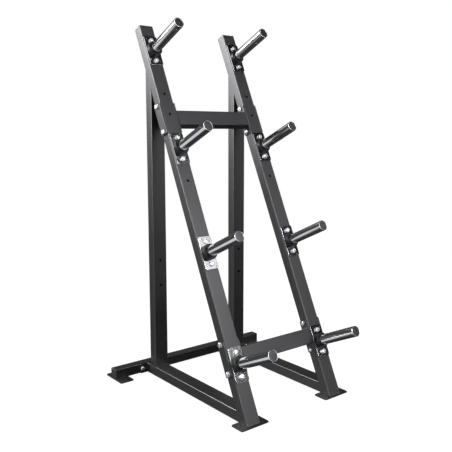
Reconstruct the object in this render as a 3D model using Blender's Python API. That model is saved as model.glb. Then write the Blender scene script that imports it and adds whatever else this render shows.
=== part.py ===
"""Weight storage rack: two leaning tube posts, each carrying four chromed pegs for weight plates.

Each side frame is a leaning post, an upright behind it and a floor beam. Two crossmembers and a
rear crossbar are bolted between the frames. The origin is on the floor, under the middle of the
rack, and the pegs point towards -Y.
"""

import math

import bmesh
import bpy
from mathutils import Matrix, Vector

# Rectangular steel tube of the frame
TUBE_WIDTH = 0.075
TUBE_DEPTH = 0.050
TUBE_WALL = 0.003
TUBE_CORNER = 0.006
CORNER_STEPS = 3

# Side frames
FRAME_SPACING = 0.513
POST_LENGTH = 1.938
LEAN = math.radians(25.0)
UPRIGHT_JOIN = 0.8305  # share of the post's length at which the upright's front meets it
BEAM_STUB = 0.033  # floor beam left over behind the upright

# Rear crossbar, square, with its end caps included in the overhang
CROSSBAR_OVERHANG = 0.2195

# Fasteners
BOLT_DIAMETER = 0.012
HEAD_ACROSS_FLATS = 1.55 * BOLT_DIAMETER
HEAD_HEIGHT = 0.65 * BOLT_DIAMETER
CROWN_WIDTH = 0.83  # end of a head's chamfer, as a share of its width
CROWN_START = 0.8  # where the chamfer starts, as a share of the head's height
WASHER_DIAMETER = 2.0 * BOLT_DIAMETER
WASHER_THICKNESS = 0.0025
THREAD_END = 0.004
HOLE_CLEARANCE = 0.00075
ROUND_SIDES = 10

# Weight pegs
PEG_ROWS = 4
FIRST_PEG = 0.269
TOP_MARGIN = 0.1345
PEG_REACH = 0.250
PEG_DIAMETER = 0.050
PEG_WALL = 0.0035
PEG_CHAMFER = 0.0015
PEG_SIDES = 24
COLLAR_THICKNESS = 0.022
COLLAR_ROUNDING = 0.003
BOLT_TO_COLLAR = 0.005

# Flat plates, all cut from one strip
PLATE_THICKNESS = 0.006
PLATE_INSET = 0.001  # plate edge inside the tube's edge, on each side
PLATE_CORNER = 0.009
FLANGE_CORNER = 0.004
WASHER_TO_EDGE = 0.0005
PLATE_CORNER_STEPS = 2

# Crossmembers and spare holes, as distances up the post from a peg
LOWER_CROSSMEMBER_RISE = 0.035
UPPER_CROSSMEMBER_RISE = 0.161
SPARE_PEG_RISE = 0.2315
UPRIGHT_HOLES_CENTRE = 0.546
UPRIGHT_HOLES_SPACING = 0.127

# End caps
CAP_THICKNESS = 0.005
CAP_ROUNDING = 0.004
CAP_SKIRT = 0.020
CAP_WALL = 0.0022
CAP_PLAY = 0.0004  # between the skirt and the tube round it
CAP_STEPS = 2

# Gap kept between pieces that touch, and how far pieces made in one sink together
GAP = 0.0003
SINK = 0.0005

# Turns sharper than this stay edges when the faces are shaded
SHARP_EDGE = math.radians(35.0)

# Sizes that follow from those above
COLLAR_DIAMETER = TUBE_WIDTH - 2 * PLATE_INSET
PEG_BOLT_SPACING = COLLAR_DIAMETER + WASHER_DIAMETER + 2 * BOLT_TO_COLLAR
PLATE_LENGTH = PEG_BOLT_SPACING + 2 * WASHER_DIAMETER
FLANGE_BOLT_SPACING = PLATE_LENGTH - WASHER_DIAMETER - 2 * WASHER_TO_EDGE
LOWEST_SPARE_DROP = 1.5 * PEG_BOLT_SPACING
PEG_PITCH = (POST_LENGTH - FIRST_PEG - TOP_MARGIN) / (PEG_ROWS - 1)
FLOOR_LIFT = PLATE_THICKNESS + GAP
CROSSMEMBER_LENGTH = FRAME_SPACING - TUBE_WIDTH - 2 * (PLATE_THICKNESS + 2 * GAP)
CROSSBAR_LENGTH = FRAME_SPACING + 2 * (CROSSBAR_OVERHANG - CAP_THICKNESS - GAP)
BOLT_HOLE = BOLT_DIAMETER / 2 + HOLE_CLEARANCE

# Depths from the foot of the posts' front faces
UPRIGHT_FRONT = UPRIGHT_JOIN * POST_LENGTH * math.sin(LEAN) + TUBE_DEPTH * math.cos(LEAN)
BEAM_END = UPRIGHT_FRONT + TUBE_DEPTH + BEAM_STUB
CROSSBAR_FRONT = BEAM_END + PLATE_THICKNESS + 2 * GAP
REAR_EDGE = CROSSBAR_FRONT + TUBE_DEPTH / 2 + PLATE_LENGTH / 2
LOWEST_TIP = (PEG_REACH * math.cos(LEAN)
              - (FIRST_PEG - PEG_DIAMETER / 2 + PEG_CHAMFER) * math.sin(LEAN))
FOOT_OVERHANG = (TUBE_WIDTH - TUBE_DEPTH / math.cos(LEAN)) / 2
FRONT_EDGE = -max(LOWEST_TIP, FOOT_OVERHANG)
POST_FOOT = -(FRONT_EDGE + REAR_EDGE) / 2


def rounded_rectangle(width, height, radius, steps=CORNER_STEPS):
    """Outline of a rounded rectangle round the origin, anticlockwise."""
    outline = []
    for corner, (side_x, side_y) in enumerate(((1, 1), (-1, 1), (-1, -1), (1, -1))):
        for step in range(steps + 1):
            angle = (corner + step / steps) * math.pi / 2
            outline.append((side_x * (width / 2 - radius) + radius * math.cos(angle),
                            side_y * (height / 2 - radius) + radius * math.sin(angle)))
    return outline


def circle(radius, sides):
    """Outline of a circle, or of a polygon, round the origin."""
    angles = [2 * math.pi * side / sides for side in range(sides)]
    return [(radius * math.cos(angle), radius * math.sin(angle)) for angle in angles]


def ring(outline, height):
    """An outline lifted to a height, or to a sloping cut given as a function."""
    return [Vector((x, y, height(x, y) if callable(height) else height)) for x, y in outline]


def loft(rings, closed=False):
    """Skin a row of matching rings; a closed row runs back into its first ring."""
    bm = bmesh.new()
    loops = [[bm.verts.new(point) for point in points] for points in rings]
    pairs = list(zip(loops, loops[1:]))
    if closed:
        pairs.append((loops[-1], loops[0]))
    else:
        bm.faces.new(loops[0])
        bm.faces.new(loops[-1])
    for lower, upper in pairs:
        for here in range(len(lower)):
            after = (here + 1) % len(lower)
            bm.faces.new((lower[here], lower[after], upper[after], upper[here]))
    bmesh.ops.recalc_face_normals(bm, faces=bm.faces)
    return bm


def to_mesh(name, bm):
    """Turn a bmesh into mesh data, smooth on its curves and sharp on its edges."""
    mesh = bpy.data.meshes.new(name)
    bm.to_mesh(mesh)
    bm.free()
    mesh.shade_smooth()
    mesh.set_sharp_from_angle(angle=SHARP_EDGE)
    return mesh


def tube(name, width, depth, start, end):
    """A hollow rounded tube along Z, cut off at each end by a height or a slope."""
    outer = rounded_rectangle(width, depth, TUBE_CORNER)
    inner = rounded_rectangle(width - 2 * TUBE_WALL, depth - 2 * TUBE_WALL,
                              TUBE_CORNER - TUBE_WALL)
    rings = [ring(outer, start), ring(outer, end), ring(inner, end), ring(inner, start)]
    return to_mesh(name, loft(rings, closed=True))


def plate(name, width, length, corner=FLANGE_CORNER):
    """A flat plate with rounded corners, its underside on Z = 0."""
    outline = rounded_rectangle(width, length, corner, PLATE_CORNER_STEPS)
    return to_mesh(name, loft([ring(outline, 0.0), ring(outline, PLATE_THICKNESS)]))


def rod(name, radius, start, end):
    """A solid round bar along Z."""
    outline = circle(radius, ROUND_SIDES)
    return to_mesh(name, loft([ring(outline, start), ring(outline, end)]))


def hexagon(name, start, height, crowned):
    """A hexagonal head or nut along Z; a crowned one has the corners of its end cut back."""
    corner = HEAD_ACROSS_FLATS / math.cos(math.pi / 6) / 2
    rings = [ring(circle(corner, 6), start)]
    if crowned:
        rings.append(ring(circle(corner, 6), start + CROWN_START * height))
        rings.append(ring(circle(CROWN_WIDTH * corner, 6), start + height))
    else:
        rings.append(ring(circle(corner, 6), start + height))
    return to_mesh(name, loft(rings))


def place(name, mesh, location=(0, 0, 0), rotation=(0, 0, 0), parent=None):
    """Put mesh data into the scene as a named object."""
    obj = bpy.data.objects.new(name, mesh)
    bpy.context.scene.collection.objects.link(obj)
    obj.location = location
    obj.rotation_euler = rotation
    obj.parent = parent
    return obj


def combine(name, base, others, operation):
    """Apply Booleans between mesh data and placed helper objects, and return the result."""
    body = place(name, base)
    for index, other in enumerate(others):
        other.hide_render = True
        other.display_type = 'WIRE'
        cut = body.modifiers.new(f"{operation.lower()}_{index}", 'BOOLEAN')
        cut.operation = operation
        cut.object = other
    bpy.context.view_layer.update()
    graph = bpy.context.evaluated_depsgraph_get()
    result = bpy.data.meshes.new_from_object(body.evaluated_get(graph))
    result.name = name
    for helper in (body, *others):
        bpy.data.objects.remove(helper)
    result.shade_smooth()
    result.set_sharp_from_angle(angle=SHARP_EDGE)
    return result


def drill(name, base, holes):
    """Drill bolt holes through mesh data, each given as its middle, direction and depth."""
    bits = bmesh.new()
    for middle, direction, depth in holes:
        turn = Vector(direction).to_track_quat('Z', 'Y').to_matrix().to_4x4()
        bmesh.ops.create_cone(bits, cap_ends=True, segments=ROUND_SIDES, radius1=BOLT_HOLE,
                              radius2=BOLT_HOLE, depth=depth,
                              matrix=Matrix.Translation(middle) @ turn)
    return combine(name, base, [place("drill_bits", to_mesh("drill_bits", bits))], 'DIFFERENCE')


def bolt(name, grip):
    """A bolt and nut along Z: its washer bears on Z = 0 and its nut on Z = -grip."""
    bearing = GAP + WASHER_THICKNESS
    pieces = [
        place("washer", rod("washer", WASHER_DIAMETER / 2, GAP, bearing)),
        place("head", hexagon("head", bearing - SINK, HEAD_HEIGHT + SINK, True)),
        place("nut", hexagon("nut", grip + GAP, HEAD_HEIGHT, False), rotation=(math.pi, 0, 0)),
    ]
    end = -grip - GAP - HEAD_HEIGHT - THREAD_END
    shank = rod(name, BOLT_DIAMETER / 2, end, bearing + SINK)
    return combine(name, shank, pieces, 'UNION')


def bolted_plate(name, width, corner, spacing):
    """A plate from Z = 0 up, one body with the two bolts that clamp it to a tube behind it."""
    seat = PLATE_THICKNESS - GAP - SINK
    fused = bolt("fused_bolt", seat + GAP + TUBE_DEPTH)
    ends = [place("bolt", fused, (0, side * spacing / 2, seat)) for side in (-1, 1)]
    return combine(name, plate(name, width, PLATE_LENGTH, corner), ends, 'UNION')


def peg_tube(name):
    """A round tube from the plate at Z = 0, its far end closed by a chamfered disc."""
    reach = PEG_REACH - PLATE_THICKNESS - 2 * GAP
    outer = PEG_DIAMETER / 2
    bore = outer - PEG_WALL
    profile = ((bore, 0.0), (outer, 0.0), (outer, reach - PEG_CHAMFER),
               (outer - PEG_CHAMFER, reach))
    rings = [ring(circle(bore, PEG_SIDES), reach - PLATE_THICKNESS)]
    rings += [ring(circle(radius, PEG_SIDES), height) for radius, height in profile]
    return to_mesh(name, loft(rings))


def collar(name):
    """A rubber ring with its outer edge cut back, bored to slide over a peg."""
    bore = PEG_DIAMETER / 2 + GAP
    outer = COLLAR_DIAMETER / 2
    edge = COLLAR_ROUNDING
    profile = ((bore, 0.0), (outer, 0.0), (outer, COLLAR_THICKNESS - edge),
               (outer - edge, COLLAR_THICKNESS), (bore, COLLAR_THICKNESS))
    rings = [ring(circle(radius, PEG_SIDES), height) for radius, height in profile]
    return to_mesh(name, loft(rings, closed=True))


def end_cap(name, width, depth):
    """A tube plug along Z: a rounded flange on Z = 0 over a hollow skirt, open below."""
    shoulder = CAP_ROUNDING * (1 - math.sqrt(0.5))
    skirt_inset = TUBE_WALL + CAP_PLAY
    skirt_corner = TUBE_CORNER - skirt_inset

    def flange(inset, height):
        outline = rounded_rectangle(width - 2 * inset, depth - 2 * inset,
                                    TUBE_CORNER - inset, CAP_STEPS)
        return ring(outline, height)

    def skirt(inset, height):
        outline = rounded_rectangle(width - 2 * (skirt_inset + inset),
                                    depth - 2 * (skirt_inset + inset),
                                    skirt_corner - inset, CAP_STEPS)
        return ring(outline, height)

    return to_mesh(name, loft([
        flange(CAP_ROUNDING, CAP_THICKNESS),
        flange(shoulder, CAP_THICKNESS - shoulder),
        flange(0.0, CAP_THICKNESS - CAP_ROUNDING),
        flange(0.0, 0.0),
        skirt(0.0, 0.0),
        skirt(0.0, CAP_WALL / 2 - CAP_SKIRT),
        skirt(CAP_WALL / 2, -CAP_SKIRT),
        skirt(CAP_WALL, -CAP_SKIRT),
        skirt(CAP_WALL, 0.0),
    ]))


def paint(mesh, colour, roughness, metallic):
    """Give mesh data its own Principled BSDF material."""
    material = bpy.data.materials.new(mesh.name)
    material.use_nodes = True
    shader = material.node_tree.nodes["Principled BSDF"]
    shader.inputs["Base Color"].default_value = (*colour, 1.0)
    shader.inputs["Roughness"].default_value = roughness
    shader.inputs["Metallic"].default_value = metallic
    mesh.materials.clear()
    mesh.materials.append(material)
    return mesh


def powder_coat(mesh):
    return paint(mesh, (0.055, 0.055, 0.058), 0.42, 0.1)


def chrome(mesh):
    return paint(mesh, (0.78, 0.79, 0.80), 0.08, 1.0)


def zinc(mesh):
    return paint(mesh, (0.66, 0.67, 0.68), 0.25, 1.0)


def rubber(mesh):
    return paint(mesh, (0.018, 0.018, 0.018), 0.75, 0.0)


def plastic(mesh):
    return paint(mesh, (0.030, 0.030, 0.032), 0.5, 0.0)


for old in list(bpy.data.objects):
    bpy.data.objects.remove(old)

LEFT_AND_RIGHT = (("left", -1), ("right", 1))
UP_TO_REAR = (-math.pi / 2, 0, 0)
UP_TO_RIGHT = (0, math.pi / 2, 0)
UP_TO_FRONT = (math.pi / 2, 0, 0)
half_spacing = FRAME_SPACING / 2
tangent = math.tan(LEAN)

# The leaning frame: Z runs up the posts, Y runs from their front faces to their back faces
lean = place("leaning_frame", None, (0, POST_FOOT, 0), (-LEAN, 0, 0))

# Leaning posts, cut level at the floor and square at the top
peg_rows = [FIRST_PEG + row * PEG_PITCH for row in range(PEG_ROWS)]
crossmember_heights = {"lower": peg_rows[0] + LOWER_CROSSMEMBER_RISE,
                       "upper": peg_rows[-2] + UPPER_CROSSMEMBER_RISE}


def post_foot(x, y):
    return FLOOR_LIFT / math.cos(LEAN) + (TUBE_DEPTH / 2 + y) * tangent


post = tube("slanted_post", TUBE_WIDTH, TUBE_DEPTH, post_foot, POST_LENGTH)
bolt_rows = [height + side * PEG_BOLT_SPACING / 2 for height in peg_rows for side in (-1, 1)]
spare_peg = peg_rows[-2] + SPARE_PEG_RISE
bolt_rows += [spare_peg + side * PEG_BOLT_SPACING / 2 for side in (-1, 1)]
bolt_rows.append(peg_rows[-2] - LOWEST_SPARE_DROP)
side_rows = [height + side * FLANGE_BOLT_SPACING / 2
             for height in crossmember_heights.values() for side in (-1, 1)]
post_holes = [((0, 0, height), (0, 1, 0), 2 * TUBE_DEPTH) for height in bolt_rows]
post_holes += [((0, 0, height), (1, 0, 0), 2 * TUBE_WIDTH) for height in side_rows]
post = powder_coat(drill("slanted_post", post, post_holes))

# Post caps
post_cap = plastic(end_cap("post_cap", TUBE_WIDTH, TUBE_DEPTH))

# Rear uprights, from the floor beams up to the posts' back faces
upright_centre = POST_FOOT + UPRIGHT_FRONT + TUBE_DEPTH / 2
beam_middle = FLOOR_LIFT + TUBE_DEPTH / 2
beam_top = FLOOR_LIFT + TUBE_DEPTH


def under_post(x, y):
    depth = upright_centre + y - POST_FOOT
    return (depth - (TUBE_DEPTH + GAP) / math.cos(LEAN)) / tangent


upright = tube("rear_upright", TUBE_WIDTH, TUBE_DEPTH, beam_top + GAP, under_post)
upright_rows = [UPRIGHT_HOLES_CENTRE + side * UPRIGHT_HOLES_SPACING / 2 for side in (-1, 1)]
upright_holes = [((0, -TUBE_DEPTH / 2, height), (0, 1, 0), TUBE_DEPTH / 2)
                 for height in upright_rows]
upright = powder_coat(drill("rear_upright", upright, upright_holes))

# Floor beams, from the posts' back faces to the rear flanges


def behind_post(x, y):
    height = beam_middle - y
    return POST_FOOT + height * tangent + (TUBE_DEPTH + GAP) / math.cos(LEAN)


beam = powder_coat(tube("floor_beam", TUBE_WIDTH, TUBE_DEPTH, behind_post, POST_FOOT + BEAM_END))

# Plates under the posts and under the ends of the rear crossbar
foot = powder_coat(plate("foot_plate", TUBE_WIDTH, PLATE_LENGTH, PLATE_CORNER))

# Rear flanges, each with the two bolts that hold it to the crossbar
rear_flange = powder_coat(bolted_plate("rear_flange", TUBE_DEPTH, FLANGE_CORNER,
                                       FLANGE_BOLT_SPACING))

# Rear crossbar and its end caps
crossbar = tube("rear_crossbar", TUBE_DEPTH, TUBE_DEPTH, -CROSSBAR_LENGTH / 2, CROSSBAR_LENGTH / 2)
crossbar_holes = [((0, 0, side * half_spacing + end * FLANGE_BOLT_SPACING / 2), (0, 1, 0),
                   2 * TUBE_DEPTH) for side in (-1, 1) for end in (-1, 1)]
crossbar = powder_coat(drill("rear_crossbar", crossbar, crossbar_holes))
crossbar_cap = plastic(end_cap("crossbar_cap", TUBE_DEPTH, TUBE_DEPTH))

# Crossmembers, bolted through the posts between end flanges and outer backing plates
crossmember = powder_coat(tube("crossmember", TUBE_WIDTH, TUBE_DEPTH,
                               -CROSSMEMBER_LENGTH / 2, CROSSMEMBER_LENGTH / 2))
flange_width = TUBE_DEPTH - 2 * PLATE_INSET
flange_holes = [((0, side * FLANGE_BOLT_SPACING / 2, 0), (0, 0, 1), 4 * PLATE_THICKNESS)
                for side in (-1, 1)]
flange = plate("crossmember_flange", flange_width, PLATE_LENGTH)
flange = powder_coat(drill("crossmember_flange", flange, flange_holes))
through_grip = TUBE_WIDTH + 2 * (PLATE_THICKNESS + GAP)
through_bolt = zinc(bolt("crossmember_bolt", through_grip))

# Weight pegs: the bolted plate, the tube with its closed end, and the rubber collar
peg_plate = chrome(bolted_plate("peg_plate", COLLAR_DIAMETER, PLATE_CORNER, PEG_BOLT_SPACING))
peg = chrome(peg_tube("peg_tube"))
peg_collar = rubber(collar("peg_collar"))

# Assembly of everything that comes once on each side
for side_name, side in LEFT_AND_RIGHT:
    x = side * half_spacing
    middle = TUBE_DEPTH / 2
    place(f"slanted_post_{side_name}", post, (x, middle, 0), parent=lean)
    place(f"post_cap_{side_name}", post_cap, (x, middle, POST_LENGTH + GAP), parent=lean)
    place(f"rear_upright_{side_name}", upright, (x, upright_centre, 0))
    place(f"floor_beam_{side_name}", beam, (x, 0, beam_middle), UP_TO_REAR)
    foot_centre = POST_FOOT + TUBE_DEPTH / math.cos(LEAN) / 2
    place(f"front_foot_{side_name}", foot, (x, foot_centre, 0), (0, 0, math.pi / 2))
    flange_back = POST_FOOT + BEAM_END + GAP + PLATE_THICKNESS
    turned = (math.pi / 2, math.pi / 2, 0)
    place(f"rear_flange_{side_name}", rear_flange, (x, flange_back, beam_middle), turned)
    crossbar_centre = POST_FOOT + CROSSBAR_FRONT + TUBE_DEPTH / 2
    cap_place = side * (CROSSBAR_LENGTH / 2 + GAP)
    cap_turn = (0, side * math.pi / 2, 0)
    place(f"crossbar_cap_{side_name}", crossbar_cap, (cap_place, crossbar_centre, beam_middle),
          cap_turn)
    foot_x = side * (half_spacing + CROSSBAR_OVERHANG - TUBE_WIDTH / 2)
    place(f"rear_foot_{side_name}", foot, (foot_x, crossbar_centre, 0))

    # Both ends of each crossmember
    for level, height in crossmember_heights.items():
        label = f"{level}_{side_name}"
        inner = x - side * (TUBE_WIDTH / 2 + GAP)
        outer = x + side * (TUBE_WIDTH / 2 + GAP)
        inward = (math.pi / 2, 0, -side * math.pi / 2)
        outward = (math.pi / 2, 0, side * math.pi / 2)
        place(f"end_flange_{label}", flange, (inner, middle, height), inward, lean)
        place(f"backing_plate_{label}", flange, (outer, middle, height), outward, lean)
        head = outer + side * PLATE_THICKNESS
        for end_name, end in (("low", -1), ("high", 1)):
            up = height + end * FLANGE_BOLT_SPACING / 2
            place(f"frame_bolt_{label}_{end_name}", through_bolt, (head, middle, up), outward, lean)

    # The pegs up the post
    for row, height in enumerate(peg_rows, start=1):
        label = f"{side_name}_{row}"
        place(f"peg_plate_{label}", peg_plate, (x, -GAP, height), UP_TO_FRONT, lean)
        face = -PLATE_THICKNESS - 2 * GAP
        place(f"peg_tube_{label}", peg, (x, face, height), UP_TO_FRONT, lean)
        place(f"peg_collar_{label}", peg_collar, (x, face, height), UP_TO_FRONT, lean)

# Pieces that come once
crossbar_place = (0, POST_FOOT + CROSSBAR_FRONT + TUBE_DEPTH / 2, beam_middle)
place("rear_crossbar", crossbar, crossbar_place, UP_TO_RIGHT)
for level, height in crossmember_heights.items():
    place(f"crossmember_{level}", crossmember, (0, TUBE_DEPTH / 2, height), UP_TO_RIGHT, lean)
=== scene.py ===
# %% [markdown]
# # Dressing a weight storage rack
# The rack is a bolted frame of rectangular steel tube. Two posts lean back on uprights, and
# each post carries four chromed pegs on which weight plates are stored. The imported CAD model
# gives every node its place. This lesson keeps those places and sizes, and models each piece
# again at the fineness of a close photograph: rounded tube corners, broken plate edges, turned
# chrome, moulded rubber, real bolt heads and weld beads.

# %% Load the frame
import math

import bmesh
import bpy
from mathutils import Euler, Matrix, Vector


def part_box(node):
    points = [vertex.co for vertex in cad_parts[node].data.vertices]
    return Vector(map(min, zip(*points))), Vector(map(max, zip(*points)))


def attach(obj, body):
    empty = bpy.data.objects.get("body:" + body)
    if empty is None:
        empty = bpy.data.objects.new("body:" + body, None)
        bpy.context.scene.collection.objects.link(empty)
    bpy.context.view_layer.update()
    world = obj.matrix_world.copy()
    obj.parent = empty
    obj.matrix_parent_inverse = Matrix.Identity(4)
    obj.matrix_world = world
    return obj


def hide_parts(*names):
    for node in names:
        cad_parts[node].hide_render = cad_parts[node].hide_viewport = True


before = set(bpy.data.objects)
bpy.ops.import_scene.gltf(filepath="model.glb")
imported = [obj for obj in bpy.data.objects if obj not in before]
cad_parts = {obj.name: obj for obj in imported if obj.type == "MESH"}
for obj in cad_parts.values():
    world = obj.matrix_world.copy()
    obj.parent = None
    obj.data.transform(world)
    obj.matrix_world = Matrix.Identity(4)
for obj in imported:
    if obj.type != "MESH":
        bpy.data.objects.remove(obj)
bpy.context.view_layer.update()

# %% [markdown]
# ## Sizes
# The pieces are placed by the same sizes as the CAD source, in metres. Only the tube's corner
# is a little tighter here. The posts, pegs and crossmembers live in one leaning frame: X
# across the rack, Y from the posts' front faces to their backs, and Z up the posts. One matrix
# takes a shape from there into the room, so every bolt and peg is placed by how far up the
# post it sits, as a fitter would measure it.

# %% Sizes of the rack
LEAN = math.radians(25.0)
tangent, cosine = math.tan(LEAN), math.cos(LEAN)
HALF_SPACING = 0.2565
TUBE_WIDTH, TUBE_DEPTH, TUBE_WALL, TUBE_CORNER = 0.075, 0.050, 0.003, 0.004
PLATE, PLATE_LENGTH, PLATE_INSET = 0.006, 0.155, 0.001
CAP = 0.005
GAP = 0.0003
FLOOR_LIFT = PLATE + GAP
POST_LENGTH = 1.938
PEG_ROWS = [0.269, 0.7805, 1.292, 1.8035]
SPARE_ROW = 1.5235
UPRIGHT_HOLES = (0.4825, 0.6095)
CROSSMEMBER_HEIGHTS = {"lower": 0.304, "upper": 1.453}
PEG_BOLTS, FLANGE_BOLTS = 0.107, 0.130
SIDES = {"left": -1, "right": 1}

POST_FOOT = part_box("slanted_post_left")[0].y - FLOOR_LIFT * tangent
UPRIGHT_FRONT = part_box("rear_upright_left")[0].y
BEAM_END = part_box("floor_beam_left")[1].y
CROSSBAR_CENTRE = sum(corner.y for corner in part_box("rear_crossbar")) / 2
CROSSBAR_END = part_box("rear_crossbar")[1].x
BEAM_MIDDLE = FLOOR_LIFT + TUBE_DEPTH / 2
BEAM_TOP = FLOOR_LIFT + TUBE_DEPTH
LEANING = Matrix.Translation((0, POST_FOOT, 0)) @ Matrix.Rotation(-LEAN, 4, 'X')
BACK_FOOT = POST_FOOT + TUBE_DEPTH / cosine


def at(location, turn=(0, 0, 0), frame_matrix=Matrix.Identity(4)):
    """The matrix of a place, turned by Euler angles, in the room or in the leaning frame."""
    return frame_matrix @ Matrix.Translation(location) @ Euler(turn).to_matrix().to_4x4()


print(f"posts stand at y = {POST_FOOT:.4f}, uprights at y = {UPRIGHT_FRONT:.4f}")

# %% [markdown]
# ## A small language for finishes
# Every finish below is a Principled shader whose colour, roughness and bump come from noise.
# Wiring such nodes by hand hides the idea behind the plumbing. So one small class wraps a
# socket and lets it be added, subtracted and multiplied like a number: writing 1 - mask makes
# the Math node that subtracts.

# %% Expressions that become nodes


class Field:
    """An output socket that can be used in a Python expression."""

    def __init__(self, tree, socket):
        self.tree = tree
        self.socket = socket

    def join(self, operation, first, second):
        node = self.tree.nodes.new("ShaderNodeMath")
        node.operation = operation
        for value, socket in zip((first, second), node.inputs):
            if isinstance(value, Field):
                self.tree.links.new(value.socket, socket)
            else:
                socket.default_value = value
        return Field(self.tree, node.outputs[0])

    def __add__(self, other):
        return self.join('ADD', self, other)

    def __sub__(self, other):
        return self.join('SUBTRACT', self, other)

    def __rsub__(self, other):
        return self.join('SUBTRACT', other, self)

    def __mul__(self, other):
        return self.join('MULTIPLY', self, other)

    __radd__ = __add__
    __rmul__ = __mul__


# %% [markdown]
# A second class adds any other node, with its settings and its sockets in one line. The third
# is a finish: it starts a material and ends it by linking what changes over the surface. What
# is constant over a surface is set on the shader itself.

# %% Nodes and finishes


class Nodes:
    """A node tree, with one method that adds a node, sets it up and connects it."""

    def __init__(self, tree):
        self.tree = tree

    def add(self, kind, settings=None, output=0, **values):
        node = self.tree.nodes.new("ShaderNode" + kind)
        for name, value in (settings or {}).items():
            setattr(node, name, value)
        for name, value in values.items():
            self.connect(node, name.replace("_", " "), value)
        return Field(self.tree, node.outputs[output])

    def connect(self, node, name, value):
        """Link or set a socket, given by its name, or as i and its number."""
        socket = node.inputs[int(name[1:]) if name[0] == "i" and name[1:].isdigit() else name]
        if isinstance(value, Field):
            self.tree.links.new(value.socket, socket)
        else:
            socket.default_value = value

    def rise(self, value, edge, soft):
        """0 below an edge and 1 above it, over a soft step."""
        return self.add("MapRange", {"interpolation_type": 'SMOOTHSTEP'}, Value=value,
                        From_Min=edge - soft, From_Max=edge + soft)


class Finish(Nodes):
    """A Principled material. Its place on the piece is read from Object coordinates."""

    def __init__(self, name, **constants):
        self.material = bpy.data.materials.new(name)
        self.material.use_nodes = True
        super().__init__(self.material.node_tree)
        self.shader = self.tree.nodes["Principled BSDF"]
        for socket, value in constants.items():
            self.shader.inputs[socket.replace("_", " ")].default_value = value
        self.place = self.add("TexCoord", output="Object")

    def turned(self, rotation, scale):
        return self.add("Mapping", Vector=self.place, Rotation=rotation, Scale=scale)

    def noise(self, scale, detail, place=None):
        return self.add("TexNoise", Vector=place or self.place, Scale=scale, Detail=detail)

    def blend(self, factor, first, second):
        """One colour fading into another where the factor rises from 0 to 1."""
        return self.add("Mix", {"data_type": 'RGBA'}, output=2, i0=factor, i6=(*first, 1.0),
                        i7=(*second, 1.0))

    def facing(self, direction):
        """How squarely the surface faces a direction: 1 when it does, 0 when it is edge on."""
        normal = self.add("TexCoord", output="Normal")
        return self.add("VectorMath", {"operation": 'DOT_PRODUCT'}, output="Value", i0=normal,
                        i1=direction)

    def finish(self, colour, roughness, height, depth, strength):
        """Link the colour, the roughness and a bump of the given depth to the shader."""
        bump = self.add("Bump", Height=height, Distance=depth, Strength=strength)
        for name, field in (("Base Color", colour), ("Roughness", roughness), ("Normal", bump)):
            self.tree.links.new(field.socket, self.shader.inputs[name])
        print("finish", self.material.name, len(self.tree.nodes), "nodes")
        return self.material


# %% [markdown]
# ### Powder coat
# The frame is sprayed with dry paint and baked. It comes out satin, nearly black, and very
# slightly dimpled like orange peel, because the grains melt into each other. A fine noise
# makes the dimples, a finer one breaks up the gloss, and a broad one lets the film thickness
# drift, so that long tubes aren't one flat tone.

# %% Powder coat
coat = Finish("satin_powder_coat", Metallic=0.0, Specular_IOR_Level=0.65)
peel = coat.noise(420.0, 3.0)
grain = coat.noise(1900.0, 1.0)
drift = coat.noise(5.0, 3.0)
powder_coat = coat.finish(
    colour=coat.blend(drift, (0.0105, 0.0105, 0.0113), (0.0145, 0.0145, 0.0155)),
    roughness=0.28 + 0.04 * drift + 0.03 * grain,
    height=peel + 0.35 * grain, depth=0.0001, strength=0.4)

# %% [markdown]
# The foot plates get the same paint, but the floor and passing shoes scuff them, so their
# gloss is duller.

# %% Scuffed powder coat
scuffed = Finish("scuffed_powder_coat", Metallic=0.0, Specular_IOR_Level=0.5)
scuffs = scuffed.noise(60.0, 4.0)
foot_coat = scuffed.finish(
    colour=scuffed.blend(scuffs, (0.0115, 0.0115, 0.0122), (0.016, 0.016, 0.017)),
    roughness=0.50 + 0.08 * scuffs,
    height=scuffed.noise(420.0, 3.0), depth=0.0001, strength=0.4)

# %% [markdown]
# ### Chrome
# The pegs are polished along their length and then plated. Chromium is a greyish mirror, a
# little darker than silver, and keeps the faint lines of the belt. The noise is stretched
# along the peg for those lines, and handling leaves a broad haze in the roughness. The end of
# the peg isn't polished, only plated, so it is duller, and the disc that closes it is a darker
# grey. The direction that the surface faces tells the end and the disc from the barrel.

# %% Chrome of the pegs
chrome_look = Finish("polished_chrome", Metallic=1.0)
along_peg = chrome_look.turned((LEAN, 0, 0), (1, 0.02, 1))
belt = chrome_look.noise(900.0, 2.0, along_peg)
haze = chrome_look.noise(28.0, 3.0)
OUTWARDS = (0.0, -cosine, math.sin(LEAN))
outwards = chrome_look.facing(OUTWARDS)
cut_end = chrome_look.rise(outwards, 0.45, 0.25)
end_disc = chrome_look.rise(outwards, 0.97, 0.02)
peg_chrome = chrome_look.finish(
    colour=chrome_look.blend((0.88 + 0.12 * haze) * (1.0 - 0.90 * end_disc),
                             (0.02, 0.02, 0.021), (0.74, 0.75, 0.77)),
    roughness=0.07 + 0.02 * haze + 0.015 * belt + 0.21 * cut_end,
    height=belt * (1.0 - cut_end), depth=0.00002, strength=0.25)

# %% [markdown]
# The peg plates are plated as rolled, without the belt. Their faces wander a little out of
# flat, so a lamp mirrored in them breaks up into light and dark patches. Their sheared edges
# are straight, but much rougher and darker than their faces.

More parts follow.
